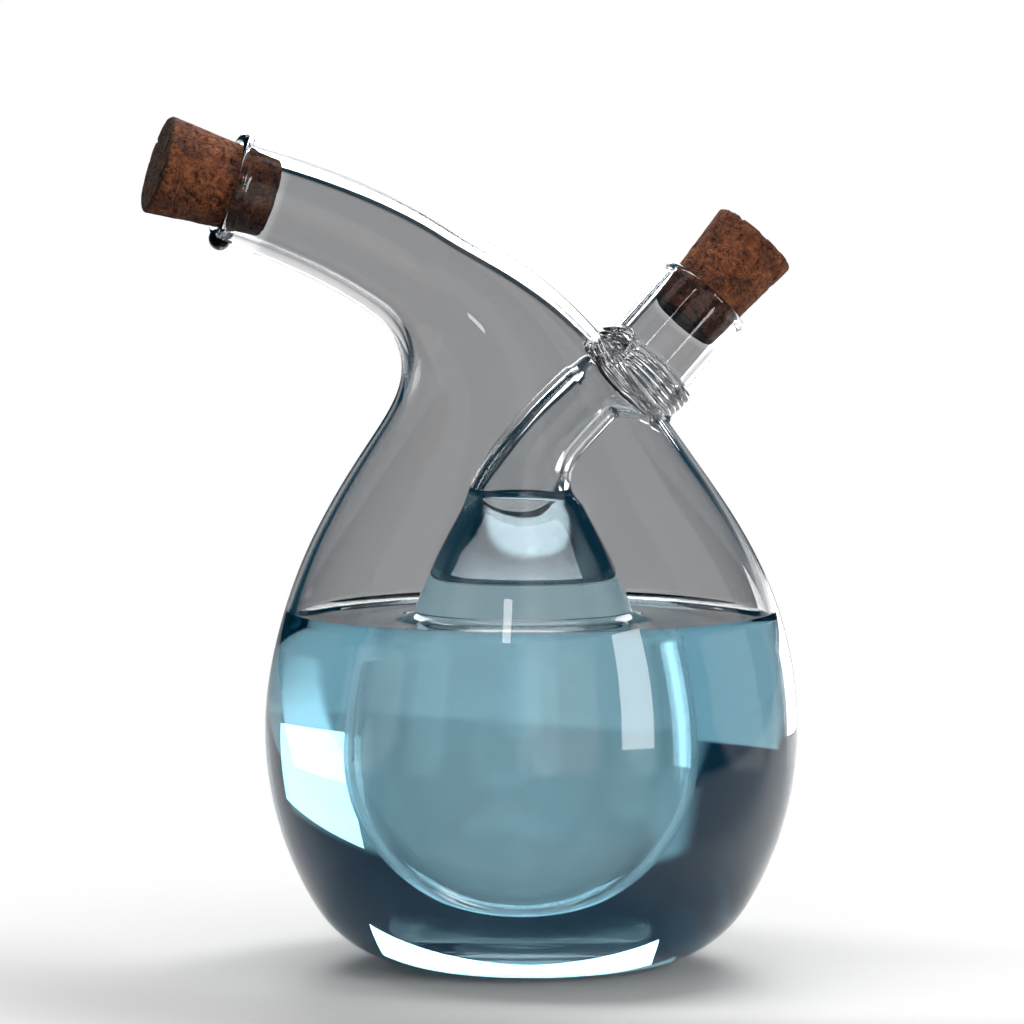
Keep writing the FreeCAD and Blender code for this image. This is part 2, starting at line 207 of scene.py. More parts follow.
def inner_rows(inset, trim=0.0):
    """The inner flask from the bottom of its bulb, up its neck and out through the stub."""
    r = BULB_RADIUS - inset
    a = np.linspace(-math.pi / 2, 0, 34)[1:]
    bulb = upright(BULB_X, BULB_HEIGHT + r * np.sin(a), r * np.cos(a))
    s = np.linspace(0, INNER_LINE.length, 62)[1:]
    thicker = 1 + NECK_THICKER * eased(s, NECK_RISE - 6, NECK_RISE + 10)
    neck = rows(*INNER_LINE.at(s), inner_radius(s) - inset * thicker)
    wall_gap = inset * STUB_WALL / BULB_WALL
    root = SEAL - STUB_WAY * STUB_ROOT
    t = np.linspace(0, 1, 14)[1:, None]
    ease = t * t * (3 - 2 * t)
    throat_way = slope(THROAT_SLOPE, 1)
    ways = throat_way * (1 - ease) + STUB_WAY * ease
    ways /= np.linalg.norm(ways, axis=1)[:, None]
    narrow = THROAT_RADIUS - inset * (1 + NECK_THICKER)
    flare = narrow + (STUB_RADIUS - wall_gap - narrow) * ease[:, 0]
    funnel = rows(THROAT * (1 - t) + root * t, ways, flare)
    d = np.linspace(0, STUB_LENGTH + STUB_ROOT - trim, 22)[1:, None]
    tube = rows(root + STUB_WAY * d, np.tile(STUB_WAY, (len(d), 1)),
                np.full(len(d), STUB_RADIUS - wall_gap))
    return np.vstack([bulb, neck, funnel, tube])


def lip_rows(mouth, way, middle, bead):
    """A fire-polished lip: a round bead from the outside over the rim to the bore."""
    a = np.radians(np.linspace(-40, 185, 19))
    along = bead * (np.sin(a) - 0.5)
    return rows(mouth + way * along[:, None], np.tile(way, (len(a), 1)), middle + bead * np.cos(a))


# %% [markdown]
# ## Rings into closed meshes
# Blown glass is round about its own centre line, also where the neck bends. Each row of a profile
# becomes a ring of points across that line, and neighbouring rings are joined by four-sided faces.
# Both ends are closed, so that the mesh has an inside and light can be bent at each wall.

# %% Rings into closed meshes


def ring_points(profile, segments):
    """Vertices of the rings, as an array of rows by segments by XYZ, in metres."""
    x, z, wx, wz, r = profile.T
    a = np.linspace(0, 2 * math.pi, segments, endpoint=False)
    side = np.stack([wz, np.zeros_like(wz), -wx], 1)
    centre = np.stack([x, np.zeros_like(x), z], 1)
    return MM * (centre[:, None] + r[:, None, None] * (
        np.cos(a)[None, :, None] * side[:, None] + np.sin(a)[None, :, None] * np.array([0, 1, 0])))


def closed_mesh(name, rings):
    """A closed mesh from rings, with a point in the middle of the first and the last ring."""
    count, segments, _ = rings.shape
    first, last = rings[0].mean(0), rings[-1].mean(0)
    vertices = np.vstack([rings.reshape(-1, 3), first, last])
    i = np.arange(count - 1)[:, None] * segments
    j = np.arange(segments)[None, :]
    k = (j + 1) % segments
    quads = np.stack(np.broadcast_arrays(i + j, i + k, i + k + segments, i + j + segments), -1)
    top, tip = (count - 1) * segments, count * segments
    j, k = j[0], k[0]
    faces = quads.reshape(-1, 4).tolist()
    faces += np.stack([k, j, np.full(segments, tip)], 1).tolist()
    faces += np.stack([top + j, top + k, np.full(segments, tip + 1)], 1).tolist()
    return object_from(name, vertices.tolist(), faces)


def object_from(name, vertices, faces):
    mesh = bpy.data.meshes.new(name)
    mesh.from_pydata(vertices, [], faces)
    mesh.shade_smooth()
    obj = bpy.data.objects.new(name, mesh)
    bpy.context.scene.collection.objects.link(obj)
    return obj


def vertices_of(obj):
    """A piece's points, in mm."""
    co = np.empty(len(obj.data.vertices) * 3)
    obj.data.vertices.foreach_get("co", co)
    return co.reshape(-1, 3) / MM


def report(obj):
    """Prints a piece's size in mm, its triangles and whether its surface is closed."""
    mesh, points = obj.data, vertices_of(obj)
    triangles = sum(len(p.vertices) - 2 for p in mesh.polygons)
    counts = {}
    for polygon in mesh.polygons:
        for key in polygon.edge_keys:
            counts[key] = counts.get(key, 0) + 1
    open_edges = sum(1 for n in counts.values() if n != 2)
    size = points.max(0) - points.min(0)
    print(f"{obj.name}: {size.round(1)} mm, {triangles} triangles, {open_edges} open edges")


# %% [markdown]
# ## The two walls of glass
# The outer flask and the inner one are each one closed wall. The base is a little thicker
# than the side and dished underneath, as a blown flask is where its cut-off point was pressed
# in so that it stands without rocking.

# %% Outer and inner flask

outer_wall = closed_mesh("outer_wall", ring_points(np.vstack([
    outer_rows(0.0, 0.0, PUNT_DEPTH, trim=LIP_TRIM),
    lip_rows(SPOUT_MOUTH, SPOUT_WAY, SPOUT_RADIUS - WALL + LIP + 0.1, LIP),
    outer_rows(WALL, BASE_THICKNESS, INNER_DISH, trim=LIP_TRIM)[::-1]]), SEGMENTS))
inner_wall = closed_mesh("inner_wall", ring_points(np.vstack([
    inner_rows(0.0, trim=STUB_LIP_TRIM),
    lip_rows(STUB_MOUTH, STUB_WAY, STUB_RADIUS - STUB_WALL + STUB_LIP + 0.1, STUB_LIP),
    inner_rows(BULB_WALL, trim=STUB_LIP_TRIM)[::-1]]), TUBE_SEGMENTS))
report(outer_wall)
report(inner_wall)

# %% [markdown]
# ## The seal, as a Geometry Nodes tree
# Where the tube leaves the flask, the maker winds and presses hot glass around it. It cools as a
# few uneven ridges, side by side. The tree repeats one circle along the tube, lets noise push it
# out of true, and sweeps a small round section around each. Its inputs are the numbers that a
# maker would change: how many ridges, how far apart, how thick and how uneven.

# %% Ridged seal


# The seal's sizes in metres, its number of ridges and the seed of its unevenness
SEAL_INPUTS = {"Ridges": 5, "Step": 0.0012, "Ring radius": 0.0091, "Ridge radius": 0.00125,
               "Unevenness": 0.0013, "Seed": 3.0}


def seal_tree():
    """A tree that makes the ridges around Z, with one named input for each size."""
    tree = bpy.data.node_groups.new("seal ridges", "GeometryNodeTree")
    tree.interface.new_socket("Geometry", in_out="OUTPUT", socket_type="NodeSocketGeometry")
    for name, value in SEAL_INPUTS.items():
        kind = "NodeSocketInt" if isinstance(value, int) else "NodeSocketFloat"
        socket = tree.interface.new_socket(name, in_out="INPUT", socket_type=kind)
        socket.default_value = value
    link = tree.links.new

    def node(kind, **settings):
        made = tree.nodes.new(kind)
        for key, value in settings.items():
            setattr(made, key, value)
        return made

    def maths(operation, a, b):
        made = node("ShaderNodeMath", operation=operation)
        for socket, value in zip(made.inputs, (a, b)):
            if isinstance(value, (int, float)):
                socket.default_value = value
            else:
                link(value, socket)
        return made.outputs[0]

    given = node("NodeGroupInput").outputs
    # A row of points along Z, one for each ridge, centred on the origin
    line = node("GeometryNodeMeshLine", mode="OFFSET")
    link(given["Ridges"], line.inputs["Count"])
    offset = node("ShaderNodeCombineXYZ")
    link(given["Step"], offset.inputs["Z"])
    link(offset.outputs[0], line.inputs["Offset"])
    half = maths("MULTIPLY", maths("SUBTRACT", given["Ridges"], 1), -0.5)
    start = node("ShaderNodeCombineXYZ")
    link(maths("MULTIPLY", half, given["Step"]), start.inputs["Z"])
    link(start.outputs[0], line.inputs["Start Location"])
    circle = node("GeometryNodeCurvePrimitiveCircle")
    circle.inputs["Resolution"].default_value = 128
    link(given["Ring radius"], circle.inputs["Radius"])
    place = node("GeometryNodeInstanceOnPoints")
    link(line.outputs["Mesh"], place.inputs["Points"])
    link(circle.outputs["Curve"], place.inputs["Instance"])
    real = node("GeometryNodeRealizeInstances")
    link(place.outputs["Instances"], real.inputs["Geometry"])
    # Noise moves every point of the rings a little
    wobble = node("ShaderNodeTexNoise", noise_dimensions="4D")
    wobble.inputs["Scale"].default_value = 95.0
    wobble.inputs["Detail"].default_value = 1.0
    link(given["Seed"], wobble.inputs["W"])
    centred = node("ShaderNodeVectorMath", operation="SUBTRACT")
    link(wobble.outputs["Color"], centred.inputs[0])
    centred.inputs[1].default_value = (0.5, 0.5, 0.5)
    sized = node("ShaderNodeVectorMath", operation="SCALE")
    link(centred.outputs[0], sized.inputs[0])
    link(maths("MULTIPLY", given["Unevenness"], 2.6), sized.inputs["Scale"])
    move = node("GeometryNodeSetPosition")
    link(real.outputs[0], move.inputs["Geometry"])
    link(sized.outputs[0], move.inputs["Offset"])
    # The ridge swells and thins on its way round
    swell = node("ShaderNodeTexNoise", noise_dimensions="4D")
    swell.inputs["Scale"].default_value = 160.0
    link(given["Seed"], swell.inputs["W"])
    thickness = maths("ADD", maths("MULTIPLY", swell.outputs[0], 0.9), 0.55)
    section = node("GeometryNodeCurvePrimitiveCircle")
    section.inputs["Resolution"].default_value = 14
    link(given["Ridge radius"], section.inputs["Radius"])
    sweep = node("GeometryNodeCurveToMesh")
    link(move.outputs[0], sweep.inputs["Curve"])
    link(section.outputs["Curve"], sweep.inputs["Profile Curve"])
    link(thickness, sweep.inputs["Scale"])
    solid = node("GeometryNodeRealizeInstances")
    link(sweep.outputs["Mesh"], solid.inputs["Geometry"])
    paint = node("GeometryNodeSetMaterial")
    paint.inputs["Material"].default_value = GLASS
    link(solid.outputs[0], paint.inputs["Geometry"])
    link(paint.outputs[0], node("NodeGroupOutput").inputs["Geometry"])
    return tree


def made_by(tree, name, inputs):
    """A plain mesh object from a tree, with its named inputs set before it first runs."""
    carrier = bpy.data.objects.new(name + "_carrier", bpy.data.meshes.new(name + "_carrier"))
    bpy.context.scene.collection.objects.link(carrier)
    modifier = carrier.modifiers.new("nodes", "NODES")
    modifier.node_group = tree
    for item in tree.interface.items_tree:
        if item.in_out == "INPUT" and item.name in inputs:
            modifier[item.identifier] = inputs[item.name]
    bpy.context.view_layer.update()
    mesh = bpy.data.meshes.new_from_object(
        carrier.evaluated_get(bpy.context.evaluated_depsgraph_get()))
    obj = bpy.data.objects.new(name, mesh)
    bpy.context.scene.collection.objects.link(obj)
    carrier.modifiers.remove(modifier)
    bpy.data.objects.remove(carrier)
    return obj


GLASS = bpy.data.materials.new("clear_glass")
seal = made_by(seal_tree(), "seal", SEAL_INPUTS)
along_tube = Vector((STUB_WAY[0], 0, STUB_WAY[1]))
tilt = Vector((0, 0, 1)).rotation_difference(along_tube).to_matrix().to_4x4()
tilt.translation = Vector((SEAL[0], 0, SEAL[1])) * MM
seal.data.transform(tilt)
seal.data.shade_smooth()
report(seal)

# %% [markdown]
# ## Melting the pieces together
# The seal is one piece with both walls, and the wall of the large flask has a hole where the
# tube passes. First a plug the size of the tube is taken out of the wall, then everything is
# joined. A bead of glass gathered under the seal and a drop on the spout's lip are joined in the
# same way.

# %% One vessel


def ball(name, centre, radii, turn=0.0):
    """A smooth closed ball, stretched by its three radii and turned about Y, in mm."""
    a = np.linspace(-math.pi / 2, math.pi / 2, 19)[1:-1]
    unit = upright(0.0, np.sin(a), np.cos(a))
    rings = ring_points(unit, 32) * np.array(radii)
    c, s = math.cos(turn), math.sin(turn)
    spin = np.array([[c, 0, s], [0, 1, 0], [-s, 0, c]])
    return closed_mesh(name, rings @ spin.T + np.array(centre) * MM)


def combine(base, operation, tools):
    """Joins or cuts closed meshes, keeps the base's name and deletes the tools."""
    for tool in tools:
        step = base.modifiers.new("step", "BOOLEAN")
        step.operation, step.solver, step.object = operation, "MANIFOLD", tool
        bpy.context.view_layer.update()
        mesh = bpy.data.meshes.new_from_object(
            base.evaluated_get(bpy.context.evaluated_depsgraph_get()))
        base.modifiers.remove(step)
        base.data = mesh
        bpy.data.objects.remove(tool)
    return base


hole = closed_mesh("hole", ring_points(inner_rows(BULB_WALL * 0.5), TUBE_SEGMENTS))
combine(outer_wall, "DIFFERENCE", [hole])
below = slope(STUB_SLOPE - 90, 1)
gather_at = SEAL - STUB_WAY * 3.2 + below * 8.4
drop_at = SPOUT_MOUTH - SPOUT_WAY * 0.9 + slope(SPOUT_SLOPE - 90, -1) * 9.9
bore = closed_mesh("bore", ring_points(rows(
    SEAL + STUB_WAY * np.linspace(-5, 6, 12)[:, None], np.tile(STUB_WAY, (12, 1)),
    np.full(12, STUB_RADIUS - STUB_WALL)), 72))
combine(seal, "DIFFERENCE", [bore])
vessel = combine(outer_wall, "UNION", [
    inner_wall, seal,
    ball("gather", (gather_at[0], -1.0, gather_at[1]), (2.4, 2.6, 2.0), 0.7),
    ball("drop", (drop_at[0], -0.8, drop_at[1]), (2.0, 2.5, 2.1), -0.3)])
vessel.name = "blown_glass"
vessel.data.name = "blown_glass"
vessel.data.shade_smooth()
report(vessel)

# %% [markdown]
# ## Where grey is painted on the glass
# The empty part of the flask gets an even painted grey, standing in for a grey backdrop seen
# through the clear glass, while the glass over the corks, over the inner neck and below the
# liquid's edge stays clear. An attribute on the vessel's own points holds that share, from 0 to 1,
# so that the painted grey doesn't depend on the view.

# %% Share of painted grey on each point of the vessel


def keep_share(obj, name, share):
    obj.data.attributes.new(name, "FLOAT", "POINT").data.foreach_set("value", share)
    print(f"{obj.name}: mean {name} {share.mean():.2f}")


def cork_depth(bore, small, large, length):
    """How deep a tapered cork goes before it comes near the wall of its bore."""
    return (bore - CORK_GAP - small) / ((large - small) / length)


def past_cork(depth, cork_end):
    """0 on the glass over a cork, 1 deeper in the tube."""
    return eased(depth, cork_end - 0.6, cork_end + 1.2)


SPOUT_CORK_DEPTH = cork_depth(SPOUT_RADIUS - WALL, *SPOUT_CORK)
STUB_CORK_DEPTH = cork_depth(STUB_RADIUS - STUB_WALL, *STUB_CORK)
points = vertices_of(vessel)
plane = points[:, [0, 2]]
# Painted grey for a grey backdrop seen through the glass, 1 above the liquid's edge
painted_backdrop_grey = eased(points[:, 2], OUTER_CONTACT - 0.8, OUTER_CONTACT + 0.6)
spout_depth = (SPOUT_MOUTH - plane) @ SPOUT_WAY
painted_backdrop_grey = np.where(points[:, 2] > 120, painted_backdrop_grey * past_cork(spout_depth, SPOUT_CORK_DEPTH), painted_backdrop_grey)
stub_depth = (STUB_MOUTH - plane) @ STUB_WAY
in_stub = (stub_depth < STUB_LENGTH) & (plane[:, 0] > SEAL[0] - 8)
painted_backdrop_grey = np.where(in_stub, painted_backdrop_grey * past_cork(stub_depth, STUB_CORK_DEPTH), painted_backdrop_grey)
# The inner flask's own wall stays clear. Its distance is found for a batch of points at a time.
inner = inner_rows(0.0)
inner = inner[(STUB_MOUTH - inner[:, :2]) @ STUB_WAY > STUB_LENGTH + 1.0]
BATCH, INNER_REACH = 20000, 0.35
for start in range(0, len(points), BATCH):
    part = points[start:start + BATCH]
    gap = np.sqrt((part[:, None, 0] - inner[None, :, 0]) ** 2 + part[:, None, 1] ** 2
                  + (part[:, None, 2] - inner[None, :, 1]) ** 2) - inner[None, :, 4]
    painted_backdrop_grey[start:start + BATCH] *= gap.min(1) > INNER_REACH
keep_share(vessel, "painted_backdrop_grey", painted_backdrop_grey)

# %% [markdown]
# ## The liquids
# Each liquid is a closed body whose sides reach a little into the glass, so that light passes from
# one into the other with no film of air between. At its free surface it climbs the glass: the
# meniscus falls off with distance from the wall, over about two millimetres.

# %% Outer and inner filling

OVERLAP = 0.15
MENISCUS, MENISCUS_REACH = 1.2, 1.5
INNER_SEGMENTS = 96


def cut_at(rings, height):
    """The rings below a height, and one more ring exactly at it, all in metres."""
    below = [ring for ring in rings if ring[:, 2].max() < height - 0.2 * MM]
    z = rings[:, :, 2]
    edge = []
    for j in range(rings.shape[1]):
        i = int(np.argmax(z[:, j] > height))
        t = (height - z[i - 1, j]) / (z[i, j] - z[i - 1, j])
        edge.append(rings[i - 1, j] * (1 - t) + rings[i, j] * t)
    return np.array(below + [np.array(edge)])


def meniscus(distance):
    """How far the surface climbs at a distance from the glass, in mm."""
    return MENISCUS * np.exp(-distance / MENISCUS_REACH)


def free_surface(outside, inside, level, steps):
    """Rings between two edges of a liquid's surface, higher near each edge."""
    span = np.linalg.norm((outside - inside)[:, :2], axis=1) / MM
    found = []
    for t in steps:
        ring = outside * (1 - t) + inside * t
        ring[:, 2] = (level + meniscus(span * t) + meniscus(span * (1 - t))) * MM
        found.append(ring)
    return np.array(found)


ease_in = np.linspace(0, 1, 16)[1:-1] ** 2 * 0.5
steps = np.concatenate([ease_in, 1 - ease_in[::-1]])
outside = cut_at(ring_points(outer_rows(WALL - OVERLAP, BASE_THICKNESS - OVERLAP, INNER_DISH),
                             SEGMENTS), OUTER_CONTACT * MM)
around_bulb = cut_at(ring_points(inner_rows(OVERLAP), SEGMENTS), OUTER_CONTACT * MM)
surface = free_surface(outside[-1], around_bulb[-1], OUTER_CONTACT - MENISCUS, steps)
outer_liquid = closed_mesh("oil", np.concatenate([outside, surface, around_bulb[::-1]]))
report(outer_liquid)

inside = cut_at(ring_points(inner_rows(BULB_WALL - OVERLAP), INNER_SEGMENTS), INNER_CONTACT * MM)
middle = np.tile(inside[-1].mean(0), (INNER_SEGMENTS, 1)) * 0.98 + inside[-1] * 0.02
surface = free_surface(inside[-1], middle, INNER_CONTACT - MENISCUS,
                       np.linspace(0, 1, 20)[1:] ** 1.5)
# The middle has no glass to climb, so the rise at that edge is taken off again
surface[:, :, 2] -= meniscus(0) * MM * np.linspace(0, 1, 19)[:, None] ** 4
inner_liquid = closed_mesh("vinegar", np.concatenate([inside, surface]))
report(inner_liquid)

# %% [markdown]
# ## Corks
# A cork stopper is a cone of pressed bark. Its edges are broken, and small pits open on its skin.
# Smooth noise gives the slow unevenness, and a second, sharper noise is kept only where it is
# strongest, which leaves single pits instead of an even roughness.

# %% Two tapered corks


def cork(name, mouth, way, sizes, depth, seed):
    """A cork whose small end stands deep in a mouth, and whose large end faces out."""
    small, large, length = sizes
    count, segments = ((150, 220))
    edge = 0.7
    along = np.linspace(0, length, count)
    radius = small + (large - small) * along / length
    near = np.minimum(along, length - along)
    radius -= edge * np.maximum(1 - near / edge, 0) ** 2 * 0.8
    ends = np.linspace(0.05, 1, 40)[:-1]
    profile_s = np.concatenate([np.zeros(39), along, np.full(39, length)])
    profile_r = np.concatenate([ends * radius[0], radius, ends[::-1] * radius[-1]])
    base = mouth - way * depth
    profile = rows(base + way * profile_s[:, None], np.tile(way, (len(profile_s), 1)), profile_r)
    rings = ring_points(profile, segments)
    axis = np.array([way[0], 0, way[1]])
    centre = np.array([base[0], 0, base[1]]) + axis * length / 2
    flat = rings.reshape(-1, 3) / MM
    moved = flat.copy()
    for n, p in enumerate(flat):
        q = Vector(p) * 0.32 + Vector((seed, 0, 0))
        slow = noise.noise(q) * 0.10
        grain = noise.noise(Vector(p) * 1.1 + Vector((seed, 3, 0)))
        pit = max(noise.noise(Vector(p) * 0.62 + Vector((0, seed, 7))) - 0.28, 0) * 1.5
        out = p - centre
        out /= max(np.linalg.norm(out), 1e-6)
        moved[n] = p + out * (slow + grain * 0.05 - min(pit, 0.5) - 0.06)
    obj = closed_mesh(name, moved.reshape(rings.shape) * MM)
    report(obj)
    # Both end faces get a share of painted shade, which darkens them in the cork's finish
    depth_in = np.abs((vertices_of(obj) - centre) @ axis)
    keep_share(obj, "painted_end_shade", eased(depth_in, length / 2 - 0.7, length / 2 - 0.25))
    return obj


spout_cork = cork("spout_stopper_cork", SPOUT_MOUTH, SPOUT_WAY, SPOUT_CORK, SPOUT_CORK_DEPTH, 4.0)
stub_cork = cork("stub_stopper_cork", STUB_MOUTH, STUB_WAY, STUB_CORK, STUB_CORK_DEPTH, 19.0)

# %% [markdown]
# ## Shader maths in plain Python
# A `Field` wraps one socket of a node tree. Python's own operators on it add the nodes that
# do the sum, so a pattern can be written as the formula that it is.

# %% A class for shader formulas


class Field:
    """A socket that takes part in sums, products and comparisons."""

    def __init__(self, tree, socket):
        self.tree, self.socket = tree, socket

    def node(self, kind, output=0, settings=None, **inputs):
        """Any other node, with its settings and its inputs by name."""
        made = self.tree.nodes.new(kind)
        for key, value in (settings or {}).items():
            setattr(made, key, value)
        for key, value in inputs.items():
            plug(self.tree, made.inputs[key.replace("_", " ")], value)
        return Field(self.tree, made.outputs[output])

    def maths(self, operation, *values):
        vector = any(isinstance(v, tuple) or (isinstance(v, Field) and v.is_vector())
                     for v in (self, *values))
        kind = "ShaderNodeVectorMath" if vector else "ShaderNodeMath"
        made = self.tree.nodes.new(kind)
        made.operation = operation
        for socket, value in zip(made.inputs, (self, *values)):
            if vector and isinstance(value, (int, float)):
                value = (value,) * 3
            plug(self.tree, socket, value)
        return Field(self.tree, made.outputs[0])

    def is_vector(self):
        return self.socket.type in ("VECTOR", "RGBA")

    def __add__(self, other):
        return self.maths("ADD", other)

    def __sub__(self, other):
        return self.maths("SUBTRACT", other)

    def __rsub__(self, other):
        return self.maths("MULTIPLY", -1.0).maths("ADD", other)

    def __mul__(self, other):
        return self.maths("MULTIPLY", other)

    def __truediv__(self, other):
        return self.maths("DIVIDE", other)

    def __rtruediv__(self, other):
        return self.maths("POWER", -1.0).maths("MULTIPLY", other)

    __radd__, __rmul__ = __add__, __mul__

    def smaller(self, other):
        return self.maths("MINIMUM", other)

    def ramp(self, low, high):
        """0 below low, 1 above high, smooth between."""
        made = self.tree.nodes.new("ShaderNodeMapRange")
        made.interpolation_type = "SMOOTHSTEP"
        plug(self.tree, made.inputs["Value"], self)
        plug(self.tree, made.inputs["From Min"], low)
        plug(self.tree, made.inputs["From Max"], high)
        return Field(self.tree, made.outputs[0])

    def length(self):
        return self.node("ShaderNodeVectorMath", 1, {"operation": "LENGTH"}, Vector=self)

    def parts(self):
        """The three numbers of a vector."""
        made = self.node("ShaderNodeSeparateXYZ", Vector=self).socket.node
        return [Field(self.tree, made.outputs[i]) for i in range(3)]

    def between(self, first, second):
        """The colour first where this is 0 and second where it is 1."""
        made = self.tree.nodes.new("ShaderNodeMix")
        made.data_type = "RGBA"
        plug(self.tree, made.inputs[0], self)
        plug(self.tree, made.inputs[6], first)
        plug(self.tree, made.inputs[7], second)
        return Field(self.tree, made.outputs[2])


def plug(tree, socket, value):
    """Feeds a socket with a field, a number, a vector or a colour."""
    if isinstance(value, Field):
        tree.links.new(value.socket, socket)
    elif isinstance(value, tuple) and socket.type == "RGBA" and len(value) == 3:
        socket.default_value = (*value, 1.0)
    else:
        socket.default_value = value


def linear(red, green, blue):
    """A colour given as 0 to 255 on screen, as the light values that a shader wants."""
    found = []
    for channel in (red, green, blue):
        c = channel / 255
        found.append(c / 12.92 if c <= 0.04045 else ((c + 0.055) / 1.055) ** 2.4)
    return tuple(found)


def start_material(material):
    material.use_nodes = True
    tree = material.node_tree
    tree.nodes.clear()
    shader = tree.nodes.new("ShaderNodeBsdfPrincipled")
    out = tree.nodes.new("ShaderNodeOutputMaterial")
    tree.links.new(shader.outputs[0], out.inputs["Surface"])
    place = tree.nodes.new("ShaderNodeTexCoord")
    return tree, shader, Field(tree, place.outputs["Object"])


def output_of(tree):
    return next(n for n in tree.nodes if n.type == "OUTPUT_MATERIAL")


# %% [markdown]
# ## Glass and liquids
# Clear glass bends light by 1.47 and water by 1.33. The glass carries a painted neutral grey in
# the empty part of the flask, standing in for a grey backdrop seen through it, and the painted
# grey fades out below the filling, where the liquid's own blue takes over. A liquid's colour lies
# in its depth: an absorption through the body, so thin edges stay pale and the middle is deep.

# %% Clear materials


def clear(material, ior):
    tree, shader, place = start_material(material)
    shader.inputs["Base Color"].default_value = (1.0, 1.0, 1.0, 1.0)
    shader.inputs["Transmission Weight"].default_value = 1.0
    shader.inputs["Roughness"].default_value = 0.0
    shader.inputs["IOR"].default_value = ior
    return tree, shader, place


def absorbing(name, ior, colour, density):
    material = bpy.data.materials.new(name)
    tree, shader, _ = clear(material, ior)
    volume = tree.nodes.new("ShaderNodeVolumeAbsorption")
    volume.inputs["Color"].default_value = (*colour, 1.0)
    volume.inputs["Density"].default_value = density
    tree.links.new(volume.outputs[0], output_of(tree).inputs["Volume"])
    return material


tree, shader, place = clear(GLASS, 1.47)
# The base colour turns grey where the share is 1: a painted grey for a backdrop seen through the
# glass
painted_backdrop_share = place.node("ShaderNodeAttribute", output=2, settings={"attribute_name": "painted_backdrop_grey"})
plug(tree, shader.inputs["Base Color"], painted_backdrop_share.between((0.97, 0.98, 0.98), (0.65, 0.65, 0.655)))

OIL = absorbing("outer_filling", 1.333, (0.204, 0.585, 0.70), 26.0)
VINEGAR = absorbing("inner_filling", 1.333, (0.50, 0.76, 0.86), 6.0)

# %% [markdown]
# ## Cork finish
# Pressed cork is many granules of slightly different brown, with dark gaps between them. A Voronoi
# pattern gives the granules and their edges, and noise bends it so that no cell looks regular. Both
# end faces get a painted shade.

# %% Cork material

CORK = bpy.data.materials.new("cork")
tree, shader, place = start_material(CORK)
bend = place.node("ShaderNodeTexNoise", output=1, Vector=place, Scale=380.0, Detail=3.0)
warped = place + (bend - (0.5, 0.5, 0.5)) * 0.0035
cells = place.node("ShaderNodeTexVoronoi", output=1, Vector=warped, Scale=520.0)
tone = cells.node("ShaderNodeSeparateColor", output=0, Color=cells)
edge = place.node("ShaderNodeTexVoronoi", output=0, settings={"feature": "DISTANCE_TO_EDGE"},
                  Vector=warped, Scale=520.0)
fine = place.node("ShaderNodeTexNoise", output=0, Vector=warped, Scale=900.0, Detail=6.0,
                  Roughness=0.7)
broad = place.node("ShaderNodeTexNoise", output=0, Vector=place, Scale=190.0, Detail=3.0)
curl = place.node("ShaderNodeTexNoise", output=0, Vector=warped, Scale=300.0, Detail=2.0)
crack = 1.0 - ((curl - 0.5) * (curl - 0.5)).ramp(0.0, 0.0009)
brown = fine.ramp(0.36, 0.66).between(linear(92, 44, 20), linear(158, 94, 54))
brown = (tone * 0.45).between(brown, linear(104, 52, 27))
brown = (broad.ramp(0.42, 0.62) * 0.55).between(brown, linear(74, 36, 17))
brown = (crack * fine.ramp(0.62, 0.40) * 0.85).between(brown, linear(40, 18, 9))
gaps = (1.0 - edge.ramp(0.0, 0.07)) * broad.ramp(0.5, 0.6)
brown = (gaps * 0.7).between(brown, linear(44, 20, 10))
# Painted shade: both end faces of each cork are darkened towards a dark brown
ends = place.node("ShaderNodeAttribute", output=2, settings={"attribute_name": "painted_end_shade"})
brown = (ends * 0.72).between(brown, linear(44, 24, 12))
plug(tree, shader.inputs["Base Color"], brown)
shader.inputs["Roughness"].default_value = 0.9
bump = tree.nodes.new("ShaderNodeBump")
bump.inputs["Strength"].default_value = 0.9
bump.inputs["Distance"].default_value = 0.0006
height = fine * 0.8 + edge.ramp(0.0, 0.12) * 0.25 - crack * 0.5 + tone * 0.2
plug(tree, bump.inputs["Height"], height)
tree.links.new(bump.outputs[0], shader.inputs["Normal"])

# %% [markdown]
# ## Finishes and bodies
# Each piece takes its material, stands in for the piece of the same name from the drawing, and is
# tied to the body that carries it. The two corks slide out of their mouths, and the glass with both
# fillings stays as one body.

# %% Finishes and bodies

for obj, material, node, body, slot in (
        (vessel, GLASS, "glass_vessel", "flask", "clear_glass"),
        (outer_liquid, OIL, "outer_liquid", "flask", "outer_filling"),
        (inner_liquid, VINEGAR, "inner_liquid", "flask", "inner_filling"),
        (spout_cork, CORK, "spout_cork", "spout_stopper", "cork"),
        (stub_cork, CORK, "stub_cork", "stub_stopper", "cork")):
    obj.data.materials.clear()
    obj.data.materials.append(material)
    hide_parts(node)
    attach(obj, body)
    print(obj.name, "rides on", body)

# %% [markdown]
# ## Floor, world and light
# Clear glass has no colour of its own: what is seen in it is the room. The room here is plain: a
# wide white sweep behind, three narrower white walls, a dark ceiling and dark corners between
# them, a pale floor and soft lamps. The white shows through the glass, and the dark gives it its
# edges.

# %% Background seen behind the cruet

# Left and right edge of a white area as the cruet sees it, in metres aside for each metre away:
# the sweep seen through glass, the sweep seen in a mirror, the strip of painted light on the table
# and a wall
WIDE, NARROW, PAINTED_STRIP_EDGES, WALL_EDGES = (0.55, 1.7), (-0.12, 0.36), (-0.66, 1.3), (0.32, 0.32)
TABLE_EDGE = 0.45
DARK, BACKDROP, PLAIN = (0.006, 0.045, 0.075), (0.76, 0.76, 0.76), (0.50, 0.50, 0.50)
WHITE = (1.0, 1.0, 1.0)
